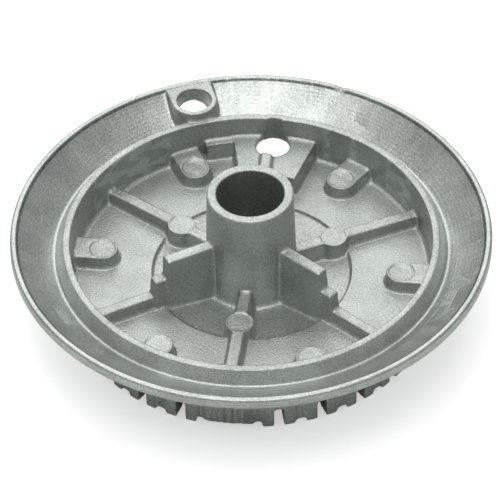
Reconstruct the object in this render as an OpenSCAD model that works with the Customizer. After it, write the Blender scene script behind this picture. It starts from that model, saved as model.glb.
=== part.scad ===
// Gas hob burner head, an aluminium casting with one turned face.
// It lies on the tips of its flame-port crown, with the mixing tube pointing up.
// The origin is on the tube axis, in the plane of the tooth tips.

/* [Flange] */
// Diameter over the flange
rim_d = 120; // [116:0.5:124]
// Height of the rim above the tooth tips
rim_h = 23.4; // [22.5:0.1:25.5]
// Width of the flat lip on the rim
lip_w = 1.4; // [0.9:0.1:2.4]
// Depth of the step from the lip to the turned dish
lip_step = 0.65; // [0.3:0.05:1]
// Width of the slope of that step
lip_run = 0.5; // [0.2:0.05:0.8]
// Height of the upright outer edge
edge_h = 2.6; // [2.2:0.1:3.4]
// Slope of the turned dish, in degrees
dish_slope = 32.5; // [30:0.5:34]
// Slope of the underside of the flange, in degrees
under_slope = 31; // [29:0.5:33]
// Radius between the underside of the flange and the crown
neck_fillet = 3; // [1.5:0.1:4]

/* [Cup] */
// Inside diameter of the cup at the top of its ring
cup_d = 90.3; // [86:0.1:91]
// Width of the flat top of the ring
ring_w = 1.8; // [1.2:0.1:2.2]
// Drop from the rim to the top of the ring
ring_drop = 2.5; // [1.8:0.1:3.2]
// Slope of the outer face of the ring, in degrees from upright
ring_slope = 27; // [20:1:32]
// Draft of the cup wall, in degrees
cup_draft = 1.2; // [0.5:0.1:2]
// Height of the cup floor above the tooth tips
floor_h = 10; // [9:0.1:11]
// Thickness of the deck
deck_t = 2.6; // [2:0.1:3.2]
// Radius at the foot of the cup wall
cup_fillet = 1.5; // [0.8:0.1:2.2]
// Diameter of the dished recess round the tube
recess_d = 50.2; // [47:0.1:52]
// Depth of the step into the recess
recess_step = 0.8; // [0.4:0.1:1.2]
// Width of the slope of that step
recess_run = 0.4; // [0.2:0.1:0.8]
// Further fall of the recess down to the tube
recess_fall = 1.6; // [1:0.1:2]

/* [Mixing tube] */
// Height of the open end of the tube above the tooth tips
tube_h = 35.9; // [30:0.1:42]
// Outside diameter of the tube at its open end
tube_d = 21.5; // [20.4:0.1:23]
// Diameter of the bore
tube_bore = 16.8; // [14:0.1:18]
// Draft of the outside of the tube, in degrees
tube_draft = 1.5; // [0.5:0.1:2]
// Radius at the foot of the tube
tube_fillet = 1.4; // [0.8:0.1:2]
// Radius of the mouth of the bore under the deck
mouth_r = 1.8; // [1:0.1:2.2]

/* [Crown of flame ports] */
// How far the crown stands outside the top of the cup wall
crown_out = 0.55; // [0.3:0.05:1.2]
// Thickness of the crown wall
crown_t = 4.4; // [3:0.1:5.5]
// Number of ports on each side of the front land
port_count = 11; // [4:1:11]
// Angle between neighbouring ports
port_pitch = 13.7; // [12.5:0.1:13.7]
// Angle from the middle of the front land to its first port
port_first = 15.5; // [14:0.1:15.9]
// Width of a port
port_w = 2.4; // [1.6:0.1:3]
// Depth of a port from the tooth tips
port_h = 5.5; // [4:0.1:6.2]
// Radius in the corners of a port
port_r = 0.6; // [0.2:0.1:0.8]
// Radius in the corners of the gaps and notches
gap_r = 0.3; // [0.1:0.05:0.4]
// Width of the shallow gap in the middle of a tooth
gap_w = 3.2; // [2:0.1:4]
// Depth of the shallow gap
gap_h = 1.4; // [0.8:0.1:1.8]
// Slope of the ends of a gap, in degrees from upright
gap_slope = 20; // [5:1:30]
// Width over the long gap in the front land and its two notches
land_gap_w = 16.3; // [14:0.1:17]
// Depth of the long gap
land_gap_h = 1.2; // [0.6:0.1:1.4]
// Width of the notch at each end of the long gap
notch_w = 1.7; // [1:0.1:2]
// Depth of the notches
notch_h = 1.9; // [1.5:0.1:2.4]
// Width of the slope from the long gap down into a notch
notch_run = 0.4; // [0.2:0.1:0.8]
// Slope of the outer side of a notch, in degrees from upright
notch_slope = 10; // [5:1:20]

/* [Webs and ribs] */
// Draft of the sides of webs, ribs and bosses, in degrees
side_draft = 3; // [1:0.5:4]
// Radius along the foot of a rib
foot_fillet = 0.9; // [0.4:0.1:1.2]
// Radius along the top edges of a rib
top_fillet = 0.4; // [0.2:0.1:0.6]
// Height of the first step of a web above the rim
web_rise = 0.2; // [0:0.1:2]
// Radius out to which the first step reaches
web_reach = 23.5; // [20:0.1:24.5]
// Height of the second step above the tooth tips
shoulder_h = 18.1; // [16:0.1:20]
// Radius out to which the second step reaches
shoulder_reach = 27.2; // [25:0.1:30]
// Thickness at the top of a web
web_t = 3.1; // [2:0.1:4]
// Thickness at the top of the second step
shoulder_t = 3; // [2:0.1:4]
// Height of the low ribs above the cup floor
rib_h = 3.6; // [2.5:0.1:4.2]
// Thickness at the top of a low rib that carries a web
low_rib_t = 2.9; // [2:0.1:4]
// Thickness at the top of a rib that carries a boss
boss_rib_t = 3.3; // [2:0.1:4.4]
// Height of the boss ribs above the cup floor
boss_rib_h = 3.2; // [2.2:0.1:4]
// Height above the cup floor of the rib between the back web and the probe hole
back_rib_h = 6.2; // [5.8:0.1:7]

/* [Pads and bosses] */
// Height of pads and bosses above the cup floor
pad_h = 3.4; // [2.4:0.1:4.4]
// Radius from the axis to the middle of a pad
pad_place = 37.7; // [35:0.1:38.5]
// Width at the top of a pad
pad_w = 7.5; // [6:0.1:8.5]
// Draft of the sides of a pad, in degrees
pad_draft = 6; // [3:0.5:8]
// Radius from the axis to the middle of a boss
boss_place = 22.3; // [20.5:0.1:24]
// Diameter at the top of a boss
boss_d = 7; // [6:0.1:8]
// Diameter of the ejector mark on pads and bosses
mark_d = 6.6; // [4:0.1:7]
// Depth of the ejector mark
mark_depth = 0.3; // [0.1:0.1:0.6]

/* [Probe pocket] */
// Height of the raised plateau above the tooth tips
plateau_h = 15.3; // [14.6:0.1:16]
// Thickness of the plateau
plateau_t = 1.6; // [1.2:0.1:2]
// Angle that the plateau spans
plateau_span = 27.7; // [25:0.1:28.5]
// Radius from the axis to the inner end of the plateau
plateau_in = 30; // [28:0.1:32]
// Wall round the pocket under the plateau
pocket_t = 2; // [1.5:0.1:2.5]
// Diameter of the probe hole
probe_d = 8.7; // [7:0.1:9]
// Radius from the axis to the probe hole
probe_place = 41.4; // [40.4:0.1:41.6]

/* [Igniter boss] */
// Diameter of the igniter hole
igniter_d = 8.8; // [7:0.1:9.6]
// Radius from the axis to the igniter hole
igniter_place = 52.4; // [51.6:0.1:53]
// Width at the top of the igniter boss
igniter_w = 11.8; // [11.2:0.1:13]
// Draft of the sides of the igniter boss, in degrees
igniter_draft = 1.5; // [0.5:0.5:4]
// Drop from the rim to the top of the igniter boss
igniter_drop = 0.3; // [0.1:0.1:1]

/* [Hidden] */

alloy = [0.72, 0.73, 0.71];
$fn = 120;

// Directions round the axis, in degrees
front_az = 262;
web_azs = [205.5, 317.8];
back_az = 83;
boss_azs = [21.7, 141.7, 261.7];
pad_azs = [for (k = [0:5]) 51.7 + 60 * k];
plateau_az = 81.4;
probe_az = 81.5;
igniter_az = 105.4;

// Small edges that every cast corner has
edge_r = 0.3;
rim_edge_r = 0.7;
groove_r = 0.8;
arc_steps = 4;

// How far joined forms reach into each other, and how far cuts overrun
bite = 0.25;
sink = 0.03;
over = 1;

// How far the back rib laps into the probe hole, which cuts its end round
rib_lap = 0.4;
// How much less than a round end the half width of the bar behind it is
shy = 0.05;

rim_r = rim_d / 2;
cup_r = cup_d / 2;
ring_h = rim_h - ring_drop;
ring_out = cup_r + ring_w;
cup_foot = cup_r - (ring_h - floor_h) * tan(cup_draft);
crown_r = cup_r + crown_out;
crown_in = crown_r - crown_t;
tube_r = tube_d / 2;
bore_r = tube_bore / 2;
recess_r = recess_d / 2;
recess_h = floor_h - recess_step;
well_h = recess_h - recess_fall;
tube_foot = tube_r + (tube_h - well_h) * tan(tube_draft);
lip_r = rim_r - lip_w;
dish_r = lip_r - lip_run;
dish_h = rim_h - lip_step;
deck_h = floor_h - deck_t;

// Where the turned dish meets the outer face of the ring
groove_at = (ring_h - dish_h + dish_r * tan(dish_slope) + ring_out / tan(ring_slope))
    / (tan(dish_slope) + 1 / tan(ring_slope));
groove_h = dish_h - (dish_r - groove_at) * tan(dish_slope);

// Height of the underside of the flange at radius r
function under_h(r) = rim_h - edge_h - (rim_r - r) * tan(under_slope);

function unit(v) = v / norm(v);
function flat(p) = [p.x, p.y];

// Points of the arc that rounds the corner b, between a and c, to radius r
function corner(a, b, c, r) =
    let (
        u = unit(a - b),
        w = unit(c - b),
        half = acos(u * w) / 2,
        o = b + unit(u + w) * r / sin(half),
        p = b + u * r / tan(half) - o,
        q = b + w * r / tan(half) - o,
        from = atan2(p.y, p.x),
        turn = atan2(q.y, q.x) - from,
        sweep = turn > 180 ? turn - 360 : turn < -180 ? turn + 360 : turn
    )
    [for (i = [0:arc_steps]) o + r * [cos(from + sweep * i / arc_steps), sin(from + sweep * i / arc_steps)]];

// Outline through points [x, y, radius], each corner rounded to its radius
function rounded(p) =
    let (n = len(p))
    [for (i = [0:n - 1])
        each p[i].z == 0 ? [flat(p[i])]
            : corner(flat(p[(i + n - 1) % n]), flat(p[i]), flat(p[(i + 1) % n]), p[i].z)];

// Half section of the casting, from the bore outwards over the top and back underneath
function body_section() = rounded([
    [bore_r, well_h - deck_t, mouth_r],
    [bore_r, tube_h, edge_r],
    [tube_r, tube_h, edge_r],
    [tube_foot, well_h, tube_fillet],
    [recess_r - recess_run, recess_h, edge_r],
    [recess_r, floor_h, edge_r],
    [cup_foot, floor_h, cup_fillet],
    [cup_r, ring_h, edge_r],
    [ring_out, ring_h, edge_r],
    [groove_at, groove_h, groove_r],
    [dish_r, dish_h, 0],
    [lip_r, rim_h, 0],
    [rim_r, rim_h, rim_edge_r],
    [rim_r, rim_h - edge_h, rim_edge_r],
    [crown_r, under_h(crown_r), neck_fillet],
    [crown_r, 0, edge_r],
    [crown_in, 0, edge_r],
    [crown_in, deck_h, cup_fillet],
    [recess_r + recess_step, deck_h, 0],
    [recess_r - recess_step, recess_h - deck_t, 0]
]);

// Turns a form that points along X to direction az
module spoke(az) {
    rotate([0, 0, az]) children();
}

// Bar along X from x0 to x1 with the cross section given as [y, z] points
module bar(x0, x1, section) {
    translate([x0, 0, 0])
        rotate([90, 0, 90])
            linear_extrude(x1 - x0)
                polygon(section);
}

// Plate in the XZ plane, w thick, with its outline given as [x, z] points
module plate(w, outline) {
    rotate([90, 0, 0])
        linear_extrude(w, center = true)
            polygon(outline);
}

// Cross section of a rib on the cup floor, t thick at its top
function rib_section(t, h) =
    let (
        top = t / 2,
        base_h = floor_h - sink,
        foot = t / 2 + h * tan(side_draft),
        skirt = foot + foot_fillet
    )
    rounded([
        [skirt, base_h - bite, 0],
        [skirt, base_h, 0],
        [foot, base_h, foot_fillet],
        [top, floor_h + h, top_fillet],
        [-top, floor_h + h, top_fillet],
        [-foot, base_h, foot_fillet],
        [-skirt, base_h, 0],
        [-skirt, base_h - bite, 0]
    ]);

// Cross section of a web, t thick at its top, standing in the recess
function web_section(t, top_h) =
    let (top = t / 2, base_h = well_h - bite, foot = top + (top_h - base_h) * tan(side_draft))
    rounded([
        [foot, base_h, 0],
        [top, top_h, top_fillet],
        [-top, top_h, top_fillet],
        [-foot, base_h, 0]
    ]);

// One step of a web, from inside the tube wall out to radius reach
module web_step(t, top_h, reach) {
    base_h = well_h - bite;
    slant = (top_h - base_h) * tan(side_draft);
    mid_r = (bore_r + tube_r) / 2;
    intersection() {
        bar(mid_r, reach + slant, web_section(t, top_h));
        plate(recess_d, rounded([
            [mid_r, base_h, 0],
            [reach + slant, base_h, 0],
            [reach, top_h, top_fillet],
            [mid_r, top_h, 0]
        ]));
    }
}

// Web in two steps, with its low rib running out to the cup wall
module web() {
    web_step(web_t, rim_h + web_rise, web_reach);
    web_step(shoulder_t, shoulder_h, shoulder_reach);
    bar(recess_r + bite / 2, cup_r + bite, rib_section(low_rib_t, rib_h));
}

// Rib with its round boss near the tube
module boss_rib() {
    rib_top = floor_h + boss_rib_h;
    bar(recess_r + bite / 2, cup_r + bite, rib_section(boss_rib_t, boss_rib_h));
    bar((bore_r + tube_r) / 2, recess_r + bite, web_section(boss_rib_t, rib_top));
    boss_top = floor_h + pad_h;
    boss_base = well_h - bite;
    difference() {
        translate([boss_place, 0, boss_base])
            cylinder(
                h = boss_top - boss_base,
                d1 = boss_d + 2 * (boss_top - boss_base) * tan(side_draft),
                d2 = boss_d
            );
        translate([boss_place, 0, boss_top - mark_depth])
            cylinder(h = mark_depth + over, d = mark_d);
    }
}

// Pad that runs from a round inner end into the cup wall
module pad() {
    top = floor_h + pad_h;
    base = floor_h - bite;
    spread = (top - base) * tan(pad_draft);
    half = pad_w / 2 - shy;
    difference() {
        union() {
            translate([pad_place, 0, base])
                cylinder(h = top - base, d1 = pad_w + 2 * spread, d2 = pad_w);
            bar(pad_place, cup_r + bite, [
                [half + spread, base],
                [half, top],
                [-half, top],
                [-half - spread, base]
            ]);
        }
        translate([pad_place, 0, top - mark_depth])
            cylinder(h = mark_depth + over, d = mark_d);
    }
}

// Ring sector from radius r0 to r1 over an angle of span about X
module sector(r0, r1, span, z0, z1) {
    rotate([0, 0, -span / 2])
        rotate_extrude(angle = span)
            polygon([[r0, z0], [r1, z0], [r1, z1], [r0, z1]]);
}

// Raised plateau, with walls below it down to the tooth tips
module plateau() {
    sector(plateau_in, cup_r + bite, plateau_span, 0, plateau_h);
}

// Pocket under the plateau, open outwards through the crown
module pocket() {
    inner = plateau_in + pocket_t;
    span = plateau_span - 2 * pocket_t / crown_in * 180 / PI;
    sector(inner, rim_r + over, span, -over, plateau_h - plateau_t);
}

// Low rib of the back web, on the plateau as far as the probe hole
module back_rib() {
    reach = probe_place - probe_d / 2 + rib_lap;
    bar(web_reach, reach, web_section(low_rib_t, floor_h + back_rib_h));
}

// Igniter boss, filling the dish from its round inner end out to the lip
module igniter_boss() {
    top = rim_h - igniter_drop;
    base = under_h(cup_r);
    slant = (top - base) * tan(igniter_draft);
    half = igniter_w / 2 - shy;
    wall_mid = edge_h / 2;
    keep_span = 60;
    intersection() {
        union() {
            translate([igniter_place, 0, base])
                cylinder(h = top - base, d1 = igniter_w + 2 * slant, d2 = igniter_w);
            bar(igniter_place, rim_r, [
                [half + slant, base],
                [half, top],
                [-half, top],
                [-half - slant, base]
            ]);
        }
        rotate([0, 0, -keep_span / 2])
            rotate_extrude(angle = keep_span)
                polygon([
                    [crown_r, under_h(crown_r) + wall_mid],
                    [lip_r + bite, under_h(lip_r + bite) + wall_mid],
                    [lip_r + bite, top],
                    [crown_r, top]
                ]);
    }
}

// Cross section of a cut w wide at the tips and h deep, with sloped ends
function cut_section(w, h, slope, r) =
    let (half = w / 2, in = h * tan(slope))
    rounded([
        [half + over * tan(slope), -over, 0],
        [half - in, h, r],
        [in - half, h, r],
        [-half - over * tan(slope), -over, 0]
    ]);

// Cross section of the long gap in the front land, with a notch at each end
function land_section() =
    let (
        half = land_gap_w / 2,
        mouth = half + over * tan(notch_slope),
        outer = half - notch_h * tan(notch_slope),
        inner = half - notch_w,
        ledge = inner - notch_run
    )
    rounded([
        [mouth, -over, 0],
        [outer, notch_h, gap_r],
        [inner, notch_h, gap_r],
        [ledge, land_gap_h, gap_r],
        [-ledge, land_gap_h, gap_r],
        [-inner, notch_h, gap_r],
        [-outer, notch_h, gap_r],
        [-mouth, -over, 0]
    ]);

// Port cuts, tooth gaps and the front-land cut, all running out through the crown
module crown_cuts() {
    x0 = crown_in - over;
    x1 = crown_r + over;
    for (side = [-1, 1])
        for (k = [0:port_count - 1]) {
            az = side * (port_first + port_pitch * k);
            spoke(front_az + az)
                bar(x0, x1, cut_section(port_w, port_h, 0, port_r));
            if (k < port_count - 1)
                spoke(front_az + az + side * port_pitch / 2)
                    bar(x0, x1, cut_section(gap_w, gap_h, gap_slope, gap_r));
        }
    spoke(front_az)
        bar(x0 - over, x1, land_section());
}

module burner_head() {
    color(alloy)
        difference() {
            union() {
                rotate_extrude() polygon(body_section());
                for (az = web_azs) spoke(az) web();
                spoke(back_az) {
                    web_step(web_t, rim_h + web_rise, web_reach);
                    web_step(shoulder_t, shoulder_h, shoulder_reach);
                    back_rib();
                }
                for (az = boss_azs) spoke(az) boss_rib();
                for (az = pad_azs) spoke(az) pad();
                spoke(plateau_az) plateau();
                spoke(igniter_az) igniter_boss();
            }
            spoke(plateau_az) pocket();
            crown_cuts();
            spoke(probe_az)
                translate([probe_place, 0, plateau_h - plateau_t - over])
                    cylinder(h = rim_h, d = probe_d);
            spoke(igniter_az)
                translate([igniter_place, 0, floor_h])
                    cylinder(h = rim_h, d = igniter_d);
        }
}

burner_head();
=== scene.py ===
# %% [markdown]
# # A gas hob burner head
# The real part is one aluminium casting. A die gives it the cup, the ribs, the mixing tube and the
# crown of flame ports. A lathe then turns the dish and the lip of its flange. It lies upside down
# here, on the tips of its crown. This lesson makes it the way the foundry does: a turned blank,
# forms added to it, ports cut into it, cast edges softened, and the turned faces cleaned up last.

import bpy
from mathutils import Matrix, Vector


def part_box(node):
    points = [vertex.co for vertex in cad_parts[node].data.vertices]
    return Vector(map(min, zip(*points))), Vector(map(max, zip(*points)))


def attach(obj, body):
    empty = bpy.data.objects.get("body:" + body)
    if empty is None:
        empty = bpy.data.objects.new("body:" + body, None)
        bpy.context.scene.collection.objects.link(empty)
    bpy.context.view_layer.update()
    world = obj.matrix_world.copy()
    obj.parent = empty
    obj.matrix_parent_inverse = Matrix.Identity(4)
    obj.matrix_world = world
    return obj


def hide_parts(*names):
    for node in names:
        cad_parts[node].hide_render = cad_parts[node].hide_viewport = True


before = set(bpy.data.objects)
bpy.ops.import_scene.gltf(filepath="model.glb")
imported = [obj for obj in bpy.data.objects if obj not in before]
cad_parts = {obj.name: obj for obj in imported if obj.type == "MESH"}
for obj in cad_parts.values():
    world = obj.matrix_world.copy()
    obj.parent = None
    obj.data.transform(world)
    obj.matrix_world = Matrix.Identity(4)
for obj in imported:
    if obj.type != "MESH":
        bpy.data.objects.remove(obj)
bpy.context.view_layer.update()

# %% [markdown]
# ## Units and names
# Blender works in metres, and a burner is easier to think about in millimetres. All lengths below
# are millimetres, and one factor turns them into metres where a mesh is made.

# %% Imports and units
import math

import bmesh
import bpy
import numpy as np
from mathutils import Matrix, Vector

MM = 0.001
scene = bpy.context.scene


def linked(name, mesh):
    """A new object at the origin, shown in the scene."""
    thing = bpy.data.objects.new(name, mesh)
    scene.collection.objects.link(thing)
    return thing


# %% [markdown]
# ## The camera
# The photograph was taken from well above and far away, with a long lens. The distance is found
# from how little the back of the flange shrinks, and the slope from how round the rim looks.

# %% Camera at the photograph's angle
PHOTO_WIDTH = 500
FOCAL_PIXELS = 4000
SENSOR = 36.0
VIEW_SLOPE = math.radians(42.93)
VIEW_ROLL = math.radians(-1.22)
VIEW_DISTANCE = 994.6
RIM_CENTRE = Vector((0, 0, 23.4))
RIM_RIGHT_PIXELS = 0.94
RIM_UP_PIXELS = 19.66


def photo_camera():
    back = Vector((0, -math.cos(VIEW_SLOPE), math.sin(VIEW_SLOPE)))
    level = Vector((1, 0, 0))
    upright = back.cross(level)
    right = math.cos(VIEW_ROLL) * level + math.sin(VIEW_ROLL) * upright
    up = -math.sin(VIEW_ROLL) * level + math.cos(VIEW_ROLL) * upright
    pixel = VIEW_DISTANCE / FOCAL_PIXELS
    eye = RIM_CENTRE + back * VIEW_DISTANCE
    eye -= right * RIM_RIGHT_PIXELS * pixel
    eye -= up * RIM_UP_PIXELS * pixel
    camera = bpy.data.objects.new("camera", bpy.data.cameras.new("camera"))
    scene.collection.objects.link(camera)
    camera.data.sensor_width = SENSOR
    camera.data.lens = FOCAL_PIXELS / PHOTO_WIDTH * SENSOR
    turn = Matrix((right, up, back)).transposed().to_4x4()
    camera.matrix_world = Matrix.Translation(eye * MM) @ turn
    scene.camera = camera
    return camera


camera = photo_camera()
print("lens", camera.data.lens, "mm, eye at", [round(v, 3) for v in camera.location])

# %% [markdown]
# ## The main sizes
# A few driving sizes give the whole part, and the frame gives two of them: the flange is as wide as
# the frame's box, and the tube is as tall. The rest were measured on the photograph.

# %% Sizes of the casting
low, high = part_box("burner_head")
RIM_R = round((high.x - low.x) / 2 / MM, 2)
TUBE_TOP = round(high.z / MM, 2)
RIM_H = 23.4
LIP_W = 1.4
LIP_STEP = 0.65
EDGE_H = 2.6
DISH_SLOPE = math.radians(32.5)
UNDER_SLOPE = math.radians(31)
CUP_R = 45.15
RING_W = 1.8
RING_H = RIM_H - 2.5
RING_SLOPE = math.radians(27)
FLOOR_H = 10.0
DECK_T = 2.6
RECESS_R = 25.1
RECESS_STEP = 0.8
WELL_H = 7.6
TUBE_R = 10.75
BORE_R = 8.4
CROWN_R = 45.7
CROWN_IN = 41.3
SIDE_DRAFT = math.radians(3)
print("flange", 2 * RIM_R, "mm across, tube", TUBE_TOP, "mm tall")

# %% [markdown]
# ## The turned blank
# Everything round on a casting like this has one section, drawn once as a half outline. Each corner
# of the outline carries a radius, and a short function swaps the corner for an arc. That is how a
# drawing gives fillets, so the radii can be checked against the photograph one by one.

# %% An outline with rounded corners
ARC_STEPS = 6


def corner_arc(a, b, c, radius):
    """Points of the arc that rounds corner b, between a and c."""
    a, b, c = Vector(a), Vector(b), Vector(c)
    to_a, to_c = (a - b).normalized(), (c - b).normalized()
    half = math.acos(max(-1, min(1, to_a.dot(to_c)))) / 2
    centre = b + (to_a + to_c).normalized() * radius / math.sin(half)
    start = b + to_a * radius / math.tan(half) - centre
    end = b + to_c * radius / math.tan(half) - centre
    first = math.atan2(start.y, start.x)
    sweep = (math.atan2(end.y, end.x) - first + math.pi) % (2 * math.pi) - math.pi
    angles = [first + sweep * k / ARC_STEPS for k in range(ARC_STEPS + 1)]
    return [(centre.x + radius * math.cos(t), centre.y + radius * math.sin(t)) for t in angles]


def rounded(corners):
    """The outline through corners (x, y, radius), each rounded to its radius."""
    points = []
    for k, (x, y, radius) in enumerate(corners):
        if radius:
            before, after = corners[k - 1][:2], corners[(k + 1) % len(corners)][:2]
            points += corner_arc(before, (x, y), after, radius)
        else:
            points.append((x, y))
    return points


# %% [markdown]
# The half section below starts at the bore and runs out over the tube, the floor of the cup, the ring
# and the dish to the rim, then back along the underside. Where two slopes meet, the point is worked
# out from them.

# %% Half section of the casting
EDGE = 0.3
TUBE_FOOT = TUBE_R + (TUBE_TOP - WELL_H) * math.tan(math.radians(1.5))
CUP_FOOT = CUP_R - (RING_H - FLOOR_H) * math.tan(math.radians(1.2))
LIP_R = RIM_R - LIP_W
DISH_R = LIP_R - 0.5
DISH_H = RIM_H - LIP_STEP
RING_OUT = CUP_R + RING_W
GROOVE_R = (RING_H - DISH_H + DISH_R * math.tan(DISH_SLOPE) + RING_OUT / math.tan(RING_SLOPE)) / (
    math.tan(DISH_SLOPE) + 1 / math.tan(RING_SLOPE)
)


def dish_h(r):
    """Height of the turned dish at radius r."""
    return DISH_H - (DISH_R - r) * math.tan(DISH_SLOPE)


def under_h(r):
    """Height of the underside of the flange at radius r."""
    return RIM_H - EDGE_H - (RIM_R - r) * math.tan(UNDER_SLOPE)


section = rounded([
    (BORE_R, WELL_H - DECK_T, 1.8),
    (BORE_R, TUBE_TOP, EDGE),
    (TUBE_R, TUBE_TOP, EDGE),
    (TUBE_FOOT, WELL_H, 1.4),
    (RECESS_R - RECESS_STEP / 2, FLOOR_H - RECESS_STEP, EDGE),
    (RECESS_R, FLOOR_H, EDGE),
    (CUP_FOOT, FLOOR_H, 1.5),
    (CUP_R, RING_H, EDGE),
    (RING_OUT, RING_H, EDGE),
    (GROOVE_R, dish_h(GROOVE_R), 0.8),
    (DISH_R, DISH_H, 0),
    (LIP_R, RIM_H, 0),
    (RIM_R, RIM_H, 0.7),
    (RIM_R, RIM_H - EDGE_H, 0.7),
    (CROWN_R, under_h(CROWN_R), 3),
    (CROWN_R, 0, EDGE),
    (CROWN_IN, 0, EDGE),
    (CROWN_IN, FLOOR_H - DECK_T, 1.5),
    (RECESS_R + RECESS_STEP, FLOOR_H - DECK_T, 0),
    (RECESS_R - RECESS_STEP, FLOOR_H - RECESS_STEP - DECK_T, 0),
])
print("section of", len(section), "points, groove at radius", round(GROOVE_R, 2), "mm")

# %% [markdown]
# The section is swept round the axis by Geometry Nodes. A grid is made with one row for each point
# of the section and one column for each step round the axis, and every vertex of the grid looks up
# its own radius and height. The steps round the axis are then one number that can be changed later.

# %% A node tree that turns a section round the axis


def tree_with(name, inputs):
    """An empty tree with a Geometry input, the named inputs, and a Geometry output."""
    tree = bpy.data.node_groups.new(name, "GeometryNodeTree")
    tree.interface.new_socket("Geometry", in_out="INPUT", socket_type="NodeSocketGeometry")
    for label, kind in inputs:
        tree.interface.new_socket(label, in_out="INPUT", socket_type="NodeSocket" + kind)
    tree.interface.new_socket("Geometry", in_out="OUTPUT", socket_type="NodeSocketGeometry")
    return tree, tree.nodes.new("NodeGroupInput"), tree.nodes.new("NodeGroupOutput")


def maths(tree, operation, a, b=None):
    """A Math node, fed by sockets or plain numbers."""
    node = tree.nodes.new("ShaderNodeMath")
    node.operation = operation
    for socket, value in zip(node.inputs, (a, b)):
        if isinstance(value, (int, float)):
            socket.default_value = value
        elif value is not None:
            tree.links.new(value, socket)
    return node.outputs[0]


def turning_tree():
    tree, given, result = tree_with("turned_section", [("Steps", "Int"), ("Finish", "Material")])
    new, link = tree.nodes.new, tree.links.new
    size = new("GeometryNodeAttributeDomainSize")
    link(given.outputs["Geometry"], size.inputs["Geometry"])
    rows = maths(tree, "ADD", size.outputs["Point Count"], 1)
    columns = maths(tree, "ADD", given.outputs["Steps"], 1)
    grid = new("GeometryNodeMeshGrid")
    link(rows, grid.inputs["Vertices X"])
    link(columns, grid.inputs["Vertices Y"])
    index = new("GeometryNodeInputIndex").outputs[0]
    row = maths(tree, "FLOOR", maths(tree, "DIVIDE", index, columns))
    column = maths(tree, "MODULO", index, columns)
    lookup = new("GeometryNodeSampleIndex")
    lookup.data_type = "FLOAT_VECTOR"
    link(given.outputs["Geometry"], lookup.inputs["Geometry"])
    link(new("GeometryNodeInputPosition").outputs[0], lookup.inputs["Value"])
    link(maths(tree, "MODULO", row, size.outputs["Point Count"]), lookup.inputs["Index"])
    parts = new("ShaderNodeSeparateXYZ")
    link(lookup.outputs["Value"], parts.inputs[0])
    angle = maths(tree, "MULTIPLY", maths(tree, "DIVIDE", column, given.outputs["Steps"]), math.tau)
    place = new("ShaderNodeCombineXYZ")
    link(maths(tree, "MULTIPLY", parts.outputs[0], maths(tree, "COSINE", angle)), place.inputs[0])
    link(maths(tree, "MULTIPLY", parts.outputs[0], maths(tree, "SINE", angle)), place.inputs[1])
    link(parts.outputs[2], place.inputs[2])
    move = new("GeometryNodeSetPosition")
    link(grid.outputs["Mesh"], move.inputs["Geometry"])
    link(place.outputs[0], move.inputs["Position"])
    weld = new("GeometryNodeMergeByDistance")
    weld.inputs["Distance"].default_value = 1e-6
    link(move.outputs[0], weld.inputs[0])
    realize = new("GeometryNodeRealizeInstances")
    link(weld.outputs[0], realize.inputs[0])
    paint = new("GeometryNodeSetMaterial")
    link(realize.outputs[0], paint.inputs["Geometry"])
    link(given.outputs["Finish"], paint.inputs["Material"])
    link(paint.outputs[0], result.inputs[0])
    return tree


def run_tree(thing, tree, **values):
    """Runs a tree on an object and keeps its result as a plain mesh. Inputs are set by identifier."""
    modifier = thing.modifiers.new(tree.name, "NODES")
    modifier.node_group = tree
    for item in tree.interface.items_tree:
        if item.in_out == "INPUT" and item.name in values:
            modifier[item.identifier] = values[item.name]
    return keep_result(thing)


def keep_result(thing):
    """Swaps an object's mesh for what its modifiers make of it, and removes them."""
    seen = thing.evaluated_get(bpy.context.evaluated_depsgraph_get())
    mesh = bpy.data.meshes.new_from_object(seen)
    old = thing.data
    thing.modifiers.clear()
    thing.data = mesh
    bpy.data.meshes.remove(old)
    return thing


# %% [markdown]
# The tree now turns the section into the blank. Its mesh is welded where the ends of the sweep meet.

# %% Turn the blank
TURN_STEPS = 360
alloy = bpy.data.materials.new("cast_alloy")


def face_outwards(mesh):
    """Welds a mesh and makes its faces point outwards."""
    work = bmesh.new()
    work.from_mesh(mesh)
    bmesh.ops.remove_doubles(work, verts=work.verts, dist=1e-7)
    bmesh.ops.recalc_face_normals(work, faces=work.faces)
    work.to_mesh(mesh)
    work.free()
    return mesh


outline = bpy.data.meshes.new("section")
outline.from_pydata([(r * MM, 0, z * MM) for r, z in section], [], [])
casting = linked("burner_casting", outline)
run_tree(casting, turning_tree(), Steps=TURN_STEPS, Finish=alloy)
face_outwards(casting.data)
print("turned blank:", len(casting.data.polygons), "faces")

# %% [markdown]
# ## Bars, cones and sectors
# Ribs, webs and pads are prisms that point away from the tube. Each is drawn as a cross section and
# pulled along X, and is turned to its place afterwards. Cast sides lean by a few degrees, so that
# the casting leaves its die, and the cross sections carry that draft.

# %% Simple solids that point along X


def solid(name, points, faces):
    mesh = bpy.data.meshes.new(name)
    mesh.from_pydata([tuple(v * MM for v in p) for p in points], [], faces)
    return linked(name, face_outwards(mesh))


def pulled(name, outline, low_end, high_end, place):
    """A prism: place(u, v, w) puts outline point (u, v) at distance w along the pull."""
    n = len(outline)
    points = [place(u, v, w) for w in (low_end, high_end) for u, v in outline]
    sides = [(k, (k + 1) % n, n + (k + 1) % n, n + k) for k in range(n)]
    return solid(name, points, sides + [tuple(range(n)), tuple(range(n, 2 * n))])


def bar(name, x0, x1, cross_section):
    return pulled(name, cross_section, x0, x1, lambda y, z, x: (x, y, z))


def plate(name, width, outline):
    return pulled(name, outline, -width / 2, width / 2, lambda x, z, y: (x, y, z))


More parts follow.
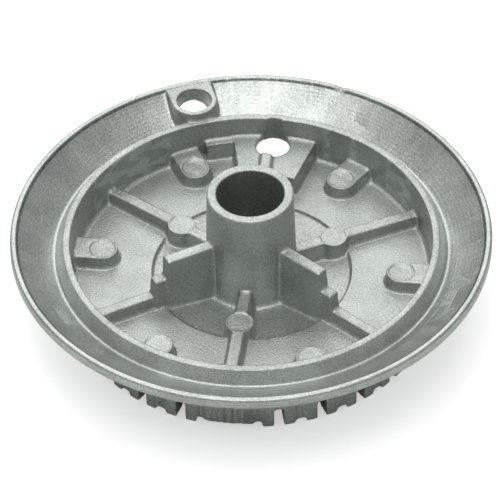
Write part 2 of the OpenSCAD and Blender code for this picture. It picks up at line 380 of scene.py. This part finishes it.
def cone(name, x, z0, z1, r0, r1, steps=96):
    ring = [(math.cos(math.tau * k / steps), math.sin(math.tau * k / steps)) for k in range(steps)]
    points = [(x + r * c, r * s, z) for r, z in ((r0, z0), (r1, z1)) for c, s in ring]
    sides = [(k, (k + 1) % steps, steps + (k + 1) % steps, steps + k) for k in range(steps)]
    return solid(name, points, sides + [tuple(range(steps)), tuple(range(steps, 2 * steps))])


def sector(name, r0, r1, span, z0, z1, steps=48):
    """A piece of a ring about X, span degrees wide."""
    angles = [math.radians(span) * (k / steps - 0.5) for k in range(steps + 1)]
    rim = [(r1 * math.cos(t), r1 * math.sin(t)) for t in angles]
    inner = [(r0 * math.cos(t), r0 * math.sin(t)) for t in reversed(angles)]
    return pulled(name, rim + inner, z0, z1, lambda x, y, z: (x, y, z))


# %% [markdown]
# The same form often stands several times round the axis. One node tree takes any solid and sets
# out copies of it at a steady pitch, so a row of ports or pads is one solid and three numbers.

# %% A node tree that sets copies out round the axis


def ring_tree():
    tree, given, result = tree_with(
        "copies_round_the_axis",
        [("Count", "Int"), ("First", "Float"), ("Pitch", "Float"), ("Finish", "Material")],
    )
    new, link = tree.nodes.new, tree.links.new
    points = new("GeometryNodeMeshLine")
    points.inputs["Offset"].default_value = (0, 0, 0)
    link(given.outputs["Count"], points.inputs["Count"])
    index = new("GeometryNodeInputIndex").outputs[0]
    angle = maths(tree, "MULTIPLY", index, given.outputs["Pitch"])
    angle = maths(tree, "ADD", angle, given.outputs["First"])
    turn = new("ShaderNodeCombineXYZ")
    link(angle, turn.inputs["Z"])
    rotation = new("FunctionNodeEulerToRotation")
    link(turn.outputs[0], rotation.inputs[0])
    copies = new("GeometryNodeInstanceOnPoints")
    link(points.outputs[0], copies.inputs["Points"])
    link(given.outputs["Geometry"], copies.inputs["Instance"])
    link(rotation.outputs[0], copies.inputs["Rotation"])
    realize = new("GeometryNodeRealizeInstances")
    link(copies.outputs[0], realize.inputs[0])
    paint = new("GeometryNodeSetMaterial")
    link(realize.outputs[0], paint.inputs["Geometry"])
    link(given.outputs["Finish"], paint.inputs["Material"])
    link(paint.outputs[0], result.inputs[0])
    return tree


ROUND_AXIS = ring_tree()


def set_out(thing, first, count=1, pitch=0.0):
    """Copies of a solid round the axis, from angle first on, in degrees."""
    first, pitch = math.radians(first), math.radians(pitch)
    return run_tree(thing, ROUND_AXIS, Count=count, First=first, Pitch=pitch, Finish=alloy)


def merge(tool, operation="UNION", body=None):
    """Joins a solid to the casting or cuts it away, and removes the solid."""
    body = body or casting
    modifier = body.modifiers.new(operation.lower(), "BOOLEAN")
    modifier.solver = "MANIFOLD"
    modifier.operation = operation
    modifier.object = tool
    keep_result(body)
    bpy.data.objects.remove(tool)
    return body


# %% [markdown]
# ## Webs and ribs
# Three tall webs brace the mixing tube, each in two steps, and run on as low ribs to the wall of the
# cup. Three more ribs carry a round boss near the tube. The low ribs have a radius along their foot.

# %% Cross sections
BITE = 0.25
TUBE_MID = (BORE_R + TUBE_R) / 2
FOOT_FILLET = 0.9
TOP_FILLET = 0.4


def rib_section(top_t, height):
    """Cross section of a low rib on the floor of the cup."""
    top = top_t / 2
    foot = top + height * math.tan(SIDE_DRAFT)
    skirt = foot + FOOT_FILLET
    right = [
        (skirt, FLOOR_H - BITE, 0),
        (skirt, FLOOR_H, 0),
        (foot, FLOOR_H, FOOT_FILLET),
        (top, FLOOR_H + height, TOP_FILLET),
    ]
    return rounded(right + [(-y, z, r) for y, z, r in reversed(right)])


def web_section(top_t, top_h):
    """Cross section of a tall web that stands in the recess."""
    base_h = WELL_H - BITE
    foot = top_t / 2 + (top_h - base_h) * math.tan(SIDE_DRAFT)
    right = [(foot, base_h, 0), (top_t / 2, top_h, TOP_FILLET)]
    return rounded(right + [(-y, z, r) for y, z, r in reversed(right)])


def web_step(top_t, top_h, reach):
    """One step of a web, with a leaning end."""
    base_h = WELL_H - BITE
    lean = (top_h - base_h) * math.tan(SIDE_DRAFT)
    step = bar("web", TUBE_MID, reach + lean, web_section(top_t, top_h))
    side = rounded([
        (TUBE_MID, base_h, 0),
        (reach + lean, base_h, 0),
        (reach, top_h, TOP_FILLET),
        (TUBE_MID, top_h, 0),
    ])
    return merge(plate("web_side", 50, side), "INTERSECT", step)


# %% [markdown]
# Each web is two steps of different height and reach. Two of them run on as low ribs; the third, at
# the back, meets the plateau instead. Three more ribs run from the tube to the wall past a boss.

# %% Webs, ribs and their bosses
WEB_ANGLES = (205.5, 317.8, 83.0)
WEB_STEPS = ((3.1, RIM_H + 0.2, 23.5), (3.0, 18.1, 27.2))
LOW_RIB = (2.9, 3.6)
BOSS_RIB = (3.3, 3.2)
BOSS_ANGLE = 21.7
BOSS_AT = 22.3
BOSS_TOP_R = 3.5
PAD_H = 3.4
MARK_R = 3.3
MARK_DEPTH = 0.4

for angle in WEB_ANGLES:
    for top_t, top_h, reach in WEB_STEPS:
        merge(set_out(web_step(top_t, top_h, reach), angle))
for angle in WEB_ANGLES[:2]:
    merge(set_out(bar("low_rib", RECESS_R + BITE, CUP_R + BITE, rib_section(*LOW_RIB)), angle))

rib_top = FLOOR_H + BOSS_RIB[1]
boss_base = WELL_H - BITE
boss_top = FLOOR_H + PAD_H
boss_foot_r = BOSS_TOP_R + (boss_top - boss_base) * math.tan(SIDE_DRAFT)
outer_rib = bar("outer_rib", RECESS_R + BITE / 2, CUP_R + BITE, rib_section(*BOSS_RIB))
inner_rib = bar("inner_rib", TUBE_MID, RECESS_R + BITE, web_section(BOSS_RIB[0], rib_top))
boss = cone("boss", BOSS_AT, boss_base, boss_top, boss_foot_r, BOSS_TOP_R)
for form in (outer_rib, inner_rib, boss):
    merge(set_out(form, BOSS_ANGLE, 3, 120))
print("with webs and ribs:", len(casting.data.polygons), "faces")

# %% [markdown]
# ## Pads
# Six pads carry the pins that push the casting out of its die. Each runs from a round inner end
# into the wall of the cup.

# %% Pads
PAD_ANGLE = 51.7
PAD_AT = 37.7
PAD_TOP_R = 3.75
pad_foot_r = PAD_TOP_R + (PAD_H + BITE) * math.tan(2 * SIDE_DRAFT)
pad_top = FLOOR_H + PAD_H
pad_base = FLOOR_H - BITE
pad_bar = [(pad_foot_r, pad_base), (PAD_TOP_R, pad_top), (-PAD_TOP_R, pad_top), (-pad_foot_r, pad_base)]
pad = cone("pad", PAD_AT, pad_base, pad_top, pad_foot_r, PAD_TOP_R)
merge(bar("pad_bar", PAD_AT, CUP_R + BITE, pad_bar), "UNION", pad)
merge(set_out(pad, PAD_ANGLE, 6, 60))
# %% [markdown]
# ## The probe pocket and the igniter boss
# At the back, a raised plateau roofs a pocket that opens outwards through the crown, and the flame
# probe stands in it. A low ledge fills the corner between the plateau and the wall of the cup.
# Beside it on the flange, a boss with a hole holds the spark igniter.

# %% Plateau, pocket and the back rib
PLATEAU_ANGLE = 81.4
PLATEAU_SPAN = 27.7
PLATEAU_H = 15.3
PLATEAU_T = 1.6
PLATEAU_IN = 30.0
POCKET_T = 2.0
LEDGE_ANGLE = 99.9
LEDGE_SPAN = 9.8
LEDGE_IN = 42.9
LEDGE_H = 15.0
PROBE_AT = 41.4
PROBE_ANGLE = 81.5
PROBE_R = 4.35

plateau = sector("plateau", PLATEAU_IN, CUP_R + BITE, PLATEAU_SPAN, 0, PLATEAU_H)
merge(set_out(plateau, PLATEAU_ANGLE))
ledge = sector("ledge", LEDGE_IN, CUP_R + BITE, LEDGE_SPAN, FLOOR_H - BITE, LEDGE_H)
merge(set_out(ledge, LEDGE_ANGLE))
back_rib_top = FLOOR_H + LOW_RIB[1] + 2.6
back_rib = bar("back_rib", WEB_STEPS[0][2], PROBE_AT - PROBE_R + 0.4, web_section(LOW_RIB[0], back_rib_top))
merge(set_out(back_rib, WEB_ANGLES[2]))
pocket_span = PLATEAU_SPAN - math.degrees(2 * POCKET_T / CROWN_IN)
pocket = sector("pocket", PLATEAU_IN + POCKET_T, RIM_R + 1, pocket_span, -1, PLATEAU_H - PLATEAU_T)
merge(set_out(pocket, PLATEAU_ANGLE), "DIFFERENCE")
probe_hole = cone("probe_hole", PROBE_AT, PLATEAU_H - PLATEAU_T - 1, 40, PROBE_R, PROBE_R)
merge(set_out(probe_hole, PROBE_ANGLE), "DIFFERENCE")

# %% [markdown]
# The igniter boss fills the dish from a round inner end out to the lip. A ring section trims it, so
# that it stays inside the flange.

# %% Igniter boss
IGNITER_AT = 52.4
IGNITER_ANGLE = 105.4
IGNITER_R = 4.4
IGNITER_TOP = RIM_H - 0.3
BOSS_HALF = 5.9

boss_base = under_h(CUP_R)
lean = (IGNITER_TOP - boss_base) * math.tan(SIDE_DRAFT / 2)
igniter = cone("igniter_boss", IGNITER_AT, boss_base, IGNITER_TOP, BOSS_HALF + lean, BOSS_HALF)
sides = [
    (BOSS_HALF + lean, boss_base),
    (BOSS_HALF, IGNITER_TOP),
    (-BOSS_HALF, IGNITER_TOP),
    (-BOSS_HALF - lean, boss_base),
]
merge(bar("igniter_sides", IGNITER_AT, RIM_R, sides), "UNION", igniter)
core = EDGE_H / 2
keep = [
    (CROWN_R, under_h(CROWN_R) + core),
    (LIP_R + BITE, under_h(LIP_R + BITE) + core),
    (LIP_R + BITE, IGNITER_TOP + 0.01),
    (CROWN_R, IGNITER_TOP + 0.01),
]
keep_mesh = bpy.data.meshes.new("igniter_keep")
keep_mesh.from_pydata([(r * MM, 0, z * MM) for r, z in keep], [], [])
keep_ring = linked("igniter_keep", keep_mesh)
run_tree(keep_ring, bpy.data.node_groups["turned_section"], Steps=TURN_STEPS, Finish=alloy)
face_outwards(keep_ring.data)
merge(keep_ring, "INTERSECT", igniter)
merge(set_out(igniter, IGNITER_ANGLE))
merge(set_out(cone("igniter_hole", IGNITER_AT, 8, 40, IGNITER_R, IGNITER_R), IGNITER_ANGLE), "DIFFERENCE")
print("with plateau and igniter boss:", len(casting.data.polygons), "faces")

# %% [markdown]
# ## The crown of flame ports
# Ports are cut right through the crown, in two mirrored rows that start from a plain land at the
# front. Every tooth between two ports has a shallow gap in its tip, and the front land has a long
# gap with a notch at each end. All of them are one bar each, set out round the axis.

# %% Ports, gaps and the front land
FRONT = 262.0
PORT_FIRST = 15.5
PORT_PITCH = 13.7
PORT_COUNT = 11
PORT_W, PORT_H = 2.4, 5.5
GAP_W, GAP_H = 3.2, 1.4
LAND_HALF = 8.15
NOTCH_W, NOTCH_H = 1.7, 1.9
LAND_GAP_H = 1.2
OVER = 1.0


def cut_section(width, height, slope, radius):
    """Cross section of a cut in the tips, width across at the tips."""
    half = width / 2
    lean = math.tan(math.radians(slope))
    right = [(half + OVER * lean, -OVER, 0), (half - height * lean, height, radius)]
    return rounded(right + [(-y, z, r) for y, z, r in reversed(right)])


def land_section():
    """Cross section of the long gap in the front land, with a notch at each end."""
    right = [
        (LAND_HALF + 0.3, -OVER, 0),
        (LAND_HALF - 0.3, NOTCH_H, 0.4),
        (LAND_HALF - NOTCH_W, NOTCH_H, 0.3),
        (LAND_HALF - NOTCH_W - 0.4, LAND_GAP_H, 0.2),
    ]
    return rounded(right + [(-y, z, r) for y, z, r in reversed(right)])


for side in (-1, 1):
    port = bar("port", CROWN_IN - OVER, CROWN_R + OVER, cut_section(PORT_W, PORT_H, 0, 0.6))
    merge(set_out(port, FRONT + side * PORT_FIRST, PORT_COUNT, side * PORT_PITCH), "DIFFERENCE")
    gap = bar("gap", CROWN_IN - OVER, CROWN_R + OVER, cut_section(GAP_W, GAP_H, 20, 0.3))
    first_gap = FRONT + side * (PORT_FIRST + PORT_PITCH / 2)
    merge(set_out(gap, first_gap, PORT_COUNT - 1, side * PORT_PITCH), "DIFFERENCE")
land = bar("front_land", CROWN_IN - 2 * OVER, CROWN_R + OVER, land_section())
merge(set_out(land, FRONT), "DIFFERENCE")
print("crown cut:", len(casting.data.polygons), "faces,", len(casting.data.vertices), "vertices")

# %% [markdown]
# ## Cast skin
# A die cannot make a sharp inside corner, and blasting with shot rounds the outside ones. The exact
# solids are first remeshed into small even faces. Smoothing that only fills hollows then turns each
# inside corner into a fillet, and a few plain passes take the bite off the edges.

# %% Remesh, then fill the hollows and ease the edges
VOXEL = 0.3
HOLLOW_PASSES = 16
EDGE_PASSES = 3

remesh = casting.modifiers.new("even_faces", "REMESH")
remesh.mode = "VOXEL"
remesh.voxel_size = VOXEL * MM
keep_result(casting)
mesh = casting.data
mesh.materials.clear()
mesh.materials.append(alloy)


def read(mesh, what, count):
    values = np.empty(count * 3)
    mesh.vertices.foreach_get(what, values)
    return values.reshape(-1, 3)


def write(mesh, points):
    mesh.vertices.foreach_set("co", points.ravel())
    mesh.update()


def edge_ends(mesh):
    ends = np.empty(len(mesh.edges) * 2, dtype=np.int64)
    mesh.edges.foreach_get("vertices", ends)
    return ends[0::2], ends[1::2]


def smooth(mesh, passes, hollows_only):
    """Moves each vertex towards the middle of its neighbours, in hollows only if asked."""
    count = len(mesh.vertices)
    first, second = edge_ends(mesh)
    share = np.bincount(first, minlength=count) + np.bincount(second, minlength=count)
    points = read(mesh, "co", count)
    normals = read(mesh, "normal", count)
    for _ in range(passes):
        middle = np.empty_like(points)
        for axis in range(3):
            total = np.bincount(first, points[second, axis], count)
            total += np.bincount(second, points[first, axis], count)
            middle[:, axis] = total / np.maximum(share, 1)
        step = 0.5 * (middle - points)
        if hollows_only:
            step *= (np.einsum("ij,ij->i", step, normals) > 0)[:, None]
        points += step
    write(mesh, points)


smooth(mesh, HOLLOW_PASSES, True)
smooth(mesh, EDGE_PASSES, False)
print("remeshed:", len(mesh.vertices), "vertices")

# %% [markdown]
# ## Turned faces
# Smoothing has also touched the faces that a lathe or the die made true. Each vertex that is still
# near the half section is put back on it, and the pull fades out over a short distance, so that
# fillets run into the true faces without a step.

# %% Put vertices back on the section
NEAR, FAR = 0.14, 0.32


def section_offset(points):
    """Distance to the section, and the nearest point (radius, height) on it, all in mm."""
    radius = np.hypot(points[:, 0], points[:, 1]) / MM
    height = points[:, 2] / MM
    gap = np.full(len(points), 1e9)
    near_r, near_z = radius.copy(), height.copy()
    for (r0, z0), (r1, z1) in zip(section, section[1:] + section[:1]):
        run, rise = r1 - r0, z1 - z0
        along = ((radius - r0) * run + (height - z0) * rise) / (run * run + rise * rise)
        along = np.clip(along, 0, 1)
        hit_r, hit_z = r0 + along * run, z0 + along * rise
        distance = np.hypot(radius - hit_r, height - hit_z)
        closer = distance < gap
        gap[closer] = distance[closer]
        near_r[closer], near_z[closer] = hit_r[closer], hit_z[closer]
    return gap, near_r, near_z


def true_up(mesh):
    points = read(mesh, "co", len(mesh.vertices))
    gap, near_r, near_z = section_offset(points)
    pull = np.clip((FAR - gap) / (FAR - NEAR), 0, 1)
    radius = np.hypot(points[:, 0], points[:, 1])
    new_r = radius + pull * (near_r * MM - radius)
    points[:, :2] *= (new_r / np.maximum(radius, 1e-9))[:, None]
    points[:, 2] += pull * (near_z * MM - points[:, 2])
    write(mesh, points)


true_up(mesh)

# %% [markdown]
# ## Marks of use and casting
# The real part is not perfect. Its cast faces wave a little, the rim has a dent at the back, and the
# turned dish has scratches and nicks. The pins of the die have left a shallow round print on every
# pad and boss, and its halves a fine seam on the tube. All of them are worked into the mesh itself.

# %% Waves, dents and scratches
WAVE = 0.035
MARK_EDGE = 0.3
DENTS = (
    (24.5, 54.2, 23.4, 1.6, 0.35),
    (-13.0, 9.0, 35.9, 1.0, 0.1),
    (47.5, -29.0, 20.2, 1.3, 0.12),
    (9.0, -45.2, 19.5, 1.2, 0.16),
)


SCRATCHES = (
    ((51.5, -14.0), (54.0, -18.5)),
    ((46.0, -24.5), (42.0, -31.0)),
    ((50.5, -20.0), (48.0, -26.5)),
    ((-49.0, -22.5), (-45.5, -29.5)),
    ((-52.5, 9.0), (-53.5, 14.0)),
    ((30.0, 42.5), (27.0, 45.5)),
)
SCRATCH_HALF = 0.22
SCRATCH_DEPTH = 0.07
SMEARS = ((25, 40), (52, 56), (62, 66), (116, 152))
SMEAR_T = 0.12
SEAM_ANGLE = 232.0
SEAM_LOW, SEAM_HIGH = 20.0, 33.0
SEAM_HALF, SEAM_OUT = 0.3, 0.09


def smear_at(points):
    """How far a cold smear of metal covers each point of the cup wall, from 0 to 1."""
    x, y, z = (points / MM).T
    radius = np.hypot(x, y)
    turn = np.degrees(np.arctan2(y, x)) % 360
    wall = (radius > CUP_FOOT - 0.5) & (radius < CUP_R + 0.4) & (z > FLOOR_H + 0.8) & (z < RING_H - 0.2)
    cover = sum(np.clip((turn - a) / 1.5, 0, 1) * np.clip((b - turn) / 1.5, 0, 1) for a, b in SMEARS)
    ragged = np.sin(turn * 0.5 + 1.4 * np.sin(z * 1.3)) + np.sin(turn * 0.23 - z * 1.1) + 0.3
    return wall * cover * np.clip(2.5 * ragged, 0, 1)


def press_marks(mesh):
    count = len(mesh.vertices)
    points, normals = read(mesh, "co", count), read(mesh, "normal", count)
    x, y, z = (points / MM).T
    radius = np.hypot(x, y)
    wave = np.sin(x / 2.3 + np.sin(y / 3.1)) + np.sin(y / 2.9 + 1.3 * np.sin(z / 2.0))
    wave += np.sin((x + y) / 1.7 + 2.0) * 0.6
    cast = (radius < CUP_R - 0.2) & (z > FLOOR_H - 3.5)
    cast &= z < TUBE_TOP - 0.6
    push = WAVE * 0.5 * wave * cast + SMEAR_T * smear_at(points)
    for at, first, copies in ((PAD_AT, PAD_ANGLE, 6), (BOSS_AT, BOSS_ANGLE, 3)):
        for k in range(copies):
            turn = math.radians(first + 360 / copies * k)
            away = np.hypot(x - at * math.cos(turn), y - at * math.sin(turn))
            level = np.abs(z - FLOOR_H - PAD_H) < 0.5
            push -= MARK_DEPTH * level * np.clip((MARK_R - away) / MARK_EDGE + 0.5, 0, 1)
    for dx, dy, dz, size, depth in DENTS:
        away = ((x - dx) ** 2 + (y - dy) ** 2 + (z - dz) ** 2) / size**2
        push -= depth * np.exp(-away)
    beside = radius * np.abs(np.degrees(np.arctan2(y, x)) % 360 - SEAM_ANGLE) * math.pi / 180
    seam = (radius < TUBE_FOOT + 0.5) & (radius > TUBE_MID) & (z > SEAM_LOW) & (z < SEAM_HIGH)
    push += SEAM_OUT * seam * np.clip(1 - beside / SEAM_HALF, 0, 1)
    for (x0, y0), (x1, y1) in SCRATCHES:
        run, rise = x1 - x0, y1 - y0
        along = np.clip(((x - x0) * run + (y - y0) * rise) / (run * run + rise * rise), 0, 1)
        away = np.hypot(x - x0 - along * run, y - y0 - along * rise)
        push -= SCRATCH_DEPTH * (z > dish_h(GROOVE_R)) * np.clip(1 - away / SCRATCH_HALF, 0, 1)
    points += normals * push[:, None] * MM
    write(mesh, points)


press_marks(mesh)

# %% [markdown]
# The fine mesh has more faces than the marks need. Thinning keeps them where the form bends. The
# turned faces and the smears are noted on the vertices, for the material to read.

# %% Thin the mesh and keep it inside the drawing
FACE_LIMIT = 190000
ON_SECTION = 0.08
GROOVE_REACH = 0.6
TURNED_DROP = 0.4
TURNED_SPAN = 0.5


def triangles(mesh):
    return sum(len(face.vertices) - 2 for face in mesh.polygons)


thin = casting.modifiers.new("thin", "DECIMATE")
thin.ratio = min(1, FACE_LIMIT / triangles(mesh))
keep_result(casting)
mesh = casting.data
points = read(mesh, "co", len(mesh.vertices))
radius = np.hypot(points[:, 0], points[:, 1])
points[:, :2] *= np.minimum(1, RIM_R * MM / np.maximum(radius, 1e-9))[:, None]
points[:, 2] = np.clip(points[:, 2], 0, TUBE_TOP * MM)
write(mesh, points)
mesh.shade_smooth()
gap, near_r, near_z = section_offset(points)
turned = (gap < ON_SECTION) & (near_r > GROOVE_R - GROOVE_REACH)
turned &= near_z > dish_h(GROOVE_R) - TURNED_DROP
turned &= near_z > np.minimum(dish_h(near_r), RIM_H) - TURNED_SPAN
machined = mesh.attributes.new("turned", "FLOAT", "POINT")
machined.data.foreach_set("value", turned.astype(np.float32))
smeared = mesh.attributes.new("smear", "FLOAT", "POINT")
smeared.data.foreach_set("value", smear_at(points).astype(np.float32))
print("thinned to", triangles(mesh), "triangles,", int(turned.sum()), "turned vertices")

# %% [markdown]
# ## Cast aluminium
# One material covers the casting. Blasted aluminium scatters light softly and has a fine grain, and
# slow patches where the metal ran cold. The turned dish is smoother, with rings left by the tool, and
# its colour is darkened at the foot of the step up to the lip, as painted shade in that corner.

# %% The alloy
GREY = (0.5, 0.53, 0.512)


RING_PITCH = 0.0009
STEP_AT = DISH_R + 0.1
# Painted shade: width and depth of a darker band in the base colour at the foot of the step up to the lip,
# standing in for the shade in that corner.
STEP_FULL_SHADE, STEP_NO_SHADE = 0.12, 0.4
STEP_SHADE_DEPTH = 0.55
RING_DEPTH = 0.00001
RING_STRENGTH = 0.5
RING_WANDER = 2.5
WANDER_SCALE = 140
GRAIN_SCALE = 1500
SPECKLE_SCALE = 2600
PATCH_SCALE = 110
NOISE_SPAN = (0.3, 0.7)
PATCH_SPAN = (0.35, 0.65)
SPECKLE_TONE = (0.74, 1.22)
PATCH_TONE = (-0.1, 0.1)
SMEAR_TONE = 0.3
ROUGHNESS = (0.42, 0.56)
TURNED_POLISH = -0.12
GRAIN_DEPTH = 0.00018
CAST_BUMP = 0.75
TURNED_BUMP_LOSS = 0.45


class Shader:
    """Short names for the nodes of one material."""

    def __init__(self, material):
        material.use_nodes = True
        self.tree = material.node_tree
        self.metal = self.tree.nodes["Principled BSDF"]
        self.place = self.tree.nodes.new("ShaderNodeTexCoord").outputs["Object"]

    def node(self, kind, **sockets):
        made = self.tree.nodes.new("ShaderNode" + kind)
        for name, value in sockets.items():
            self.feed(made.inputs[name], value)
        return made

    def feed(self, socket, value):
        if isinstance(value, bpy.types.NodeSocket):
            self.tree.links.new(value, socket)
        else:
            socket.default_value = value

    def mask(self, name):
        made = self.node("Attribute")
        made.attribute_name = name
        return made.outputs["Fac"]

    def noise(self, scale, detail=2.0):
        made = self.node("TexNoise", Vector=self.place, Scale=scale, Detail=detail)
        return made.outputs["Fac"]

    def spread(self, value, low_end, high_end, low=0.0, high=1.0):
        made = self.node("MapRange", Value=value)
        made.inputs["From Min"].default_value = low_end
        made.inputs["From Max"].default_value = high_end
        made.inputs["To Min"].default_value = low
        made.inputs["To Max"].default_value = high
        return made.outputs["Result"]

    def maths(self, operation, a, b):
        made = self.tree.nodes.new("ShaderNodeMath")
        made.operation = operation
        self.feed(made.inputs[0], a)
        self.feed(made.inputs[1], b)
        return made.outputs[0]

    def bump(self, height, distance, strength, below=None):
        made = self.node("Bump", Height=height, Distance=distance, Strength=strength)
        if below is not None:
            self.feed(made.inputs["Normal"], below)
        return made.outputs["Normal"]


def cast_finish(material):
    shader = Shader(material)
    metal = shader.metal
    turned, smear = shader.mask("turned"), shader.mask("smear")
    parts = shader.node("SeparateXYZ", Vector=shader.place)
    x_square = shader.maths("MULTIPLY", parts.outputs[0], parts.outputs[0])
    y_square = shader.maths("MULTIPLY", parts.outputs[1], parts.outputs[1])
    square = shader.maths("ADD", x_square, y_square)
    radius = shader.maths("SQRT", square, 0.0)
    wander = shader.maths("MULTIPLY", shader.noise(WANDER_SCALE), RING_WANDER)
    phase = shader.maths("ADD", shader.maths("MULTIPLY", radius, 2 * math.pi / RING_PITCH), wander)
    rings = shader.maths("SINE", phase, 0.0)
    grain = shader.noise(GRAIN_SCALE, 3)
    speckle = shader.noise(SPECKLE_SCALE, 2)
    patches = shader.noise(PATCH_SCALE, 5)
    fine = shader.spread(speckle, *NOISE_SPAN, *SPECKLE_TONE)
    slow = shader.spread(patches, *PATCH_SPAN, *PATCH_TONE)
    tone = shader.maths("ADD", fine, slow)
    tone = shader.maths("ADD", tone, shader.maths("MULTIPLY", smear, SMEAR_TONE))
    # Painted shade: the turned colour is darkened near the foot of the step up to the lip, where the inside
    # corner is in shade.
    from_step = shader.maths("ABSOLUTE", shader.maths("SUBTRACT", radius, STEP_AT * MM), 0.0)
    painted_shade = shader.maths("MULTIPLY", shader.spread(from_step, STEP_NO_SHADE * MM, STEP_FULL_SHADE * MM), turned)
    tone = shader.maths("SUBTRACT", tone, shader.maths("MULTIPLY", painted_shade, STEP_SHADE_DEPTH))
    colour = shader.node("CombineXYZ")
    for k in range(3):
        shader.feed(colour.inputs[k], shader.maths("MULTIPLY", tone, GREY[k]))
    shader.feed(metal.inputs["Base Color"], colour.outputs[0])
    metal.inputs["Metallic"].default_value = 1.0
    polish = shader.maths("MULTIPLY", turned, TURNED_POLISH)
    rough = shader.maths("ADD", shader.spread(grain, *NOISE_SPAN, *ROUGHNESS), polish)
    shader.feed(metal.inputs["Roughness"], rough)
    roughcast = shader.maths("SUBTRACT", CAST_BUMP, shader.maths("MULTIPLY", turned, TURNED_BUMP_LOSS))
    cast_bump = shader.bump(grain, GRAIN_DEPTH, roughcast)
    ring_height = shader.maths("MULTIPLY", rings, turned)
    shader.feed(metal.inputs["Normal"], shader.bump(ring_height, RING_DEPTH, RING_STRENGTH, cast_bump))


cast_finish(alloy)

# %% [markdown]
# ## Floor and light
# The part lies on pale paper. A large soft lamp overhead lights the dish at the back, and a second one
# behind lights the flat floor of the cup. Walls that face the camera see neither, and stay dark.

# %% Floor and light
FLOOR_GREY = 0.87
FLOOR_GLOW = 0.5


def floor_paint():
    paint = bpy.data.materials.new("pale_floor")
    paint.use_nodes = True
    tree = paint.node_tree
    paper = tree.nodes["Principled BSDF"]
    paper.inputs["Base Color"].default_value = (FLOOR_GREY, FLOOR_GREY, FLOOR_GREY, 1)
    paper.inputs["Roughness"].default_value = 0.9
    path = tree.nodes.new("ShaderNodeLightPath")
    glow = tree.nodes.new("ShaderNodeMath")
    glow.operation = "MULTIPLY"
    tree.links.new(path.outputs["Is Camera Ray"], glow.inputs[0])
    glow.inputs[1].default_value = FLOOR_GLOW
    paper.inputs["Emission Color"].default_value = (1, 1, 1, 1)
    tree.links.new(glow.outputs[0], paper.inputs["Emission Strength"])
    return paint


FLOOR_REACH = 3.0
ground = bpy.data.meshes.new("floor")
signs = ((-1, -1), (1, -1), (1, 1), (-1, 1))
corners = [(x * FLOOR_REACH, y * FLOOR_REACH, 0) for x, y in signs]
ground.from_pydata(corners, [], [(0, 1, 2, 3)])
ground.materials.append(floor_paint())
floor = linked("floor", ground)


def softbox(name, place, aim, size, radiance):
    """A square lamp that looks as bright as a white card of that radiance."""
    lamp = bpy.data.lights.new(name, "AREA")
    lamp.shape = "SQUARE"
    lamp.size = size
    lamp.energy = radiance * math.pi * size * size
    thing = bpy.data.objects.new(name, lamp)
    scene.collection.objects.link(thing)
    thing.location = place
    thing.rotation_euler = (Vector(place) - Vector(aim)).to_track_quat("Z", "Y").to_euler()
    return thing


softbox("back_light", (-0.1, 1.1, 1.0), (0, 0, 0), 1.5, 1.3)
softbox("top_light", (-0.1, -0.25, 1.35), (0, 0, 0), 1.1, 1.95)
world = bpy.data.worlds.new("studio")
scene.world = world
world.use_nodes = True
world.node_tree.nodes["Background"].inputs["Color"].default_value = (1, 1, 1, 1)
world.node_tree.nodes["Background"].inputs["Strength"].default_value = 0.4
scene.view_settings.view_transform = "Standard"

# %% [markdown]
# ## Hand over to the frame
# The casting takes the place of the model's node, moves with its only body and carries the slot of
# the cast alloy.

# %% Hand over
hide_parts("burner_head")
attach(casting, "root")
